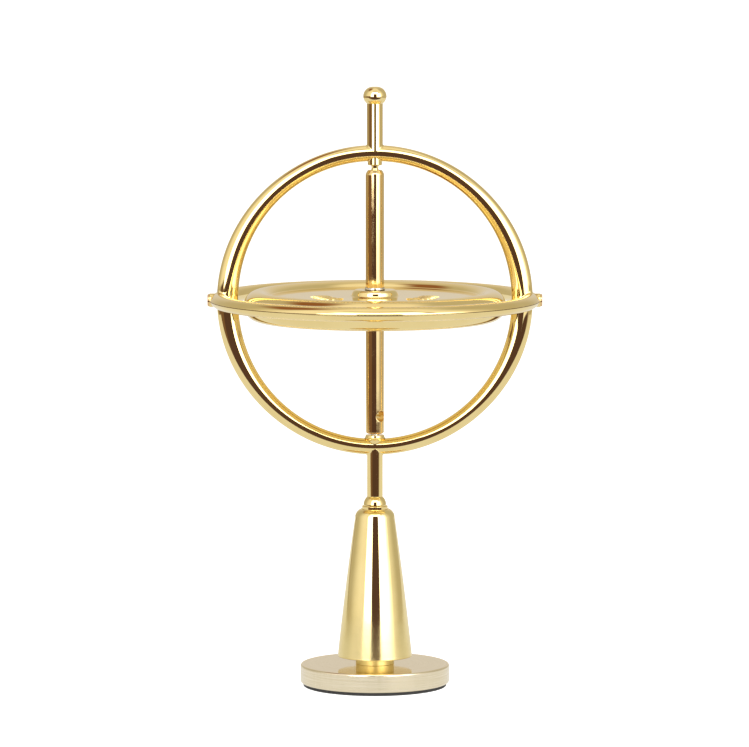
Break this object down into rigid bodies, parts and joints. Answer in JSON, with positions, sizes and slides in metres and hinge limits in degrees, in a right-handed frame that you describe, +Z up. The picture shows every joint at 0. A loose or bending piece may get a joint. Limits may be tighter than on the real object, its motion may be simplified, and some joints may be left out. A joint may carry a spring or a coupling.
{
  "type": "toy gyroscope",
  "caption": "Toy gyroscope: a flywheel on an axle inside a two-ring cage, balanced by its lower ball in the cup of a conical stand.",
  "frame": {"origin": "centre of the resting face, under the pad", "axes": "+Z up along the rotor's axle at rest; the upright ring lies in the XZ plane; the lugs point along X"},
  "size_m": [0.0698, 0.069, 0.1256],
  "materials": {
    "pad": "matt foam rubber",
    "base_gold": "satin, turned, pale gold plated",
    "cone_gold": "polished above, satin turned below, gold plated",
    "polished_gold": "mirror polished, gold plated",
    "ring_gold": "mirror polished, gold plated",
    "rivet_gold": "flattened, gold plated",
    "wheel_gold": "mirror polished, gold plated",
    "axle_gold": "mirror polished, gold plated",
    "pivot_steel": "turned bright steel",
    "screw_steel": "zinc plated"
  },
  "bodies": {
    "pedestal": {"base_pad": "pad", "base_disc": "base_gold", "base_screw": "screw_steel", "pedestal_cone": "cone_gold", "cup_insert": "polished_gold"},
    "ball": {"lower_ball": "polished_gold"},
    "cage": {"lower_stem": "polished_gold", "lower_bearing": "polished_gold", "upright_ring": "ring_gold", "level_ring": "ring_gold", "left_rivet": "rivet_gold", "right_rivet": "rivet_gold", "upper_bearing": "polished_gold", "upper_stem": "polished_gold", "top_knob": "polished_gold"},
    "rotor": {"flywheel": "wheel_gold", "hub_collar": "pivot_steel", "axle": "axle_gold", "upper_pivot": "pivot_steel", "lower_pivot": "pivot_steel"}
  },
  "joints": [
    {"name": "precession", "type": "hinge", "parent": "pedestal", "child": "ball", "pos_m": [0, 0, 0.0381], "axis": [0, 0, 1], "continuous": true},
    {"name": "lean", "type": "hinge", "parent": "ball", "child": "cage", "pos_m": [0, 0, 0.0381], "axis": [0, 1, 0], "range_deg": [-45, 45]},
    {"name": "rotor_spin", "type": "hinge", "parent": "cage", "child": "rotor", "pos_m": [0, 0, 0.081], "axis": [0, 0, 1], "continuous": true}
  ]
}
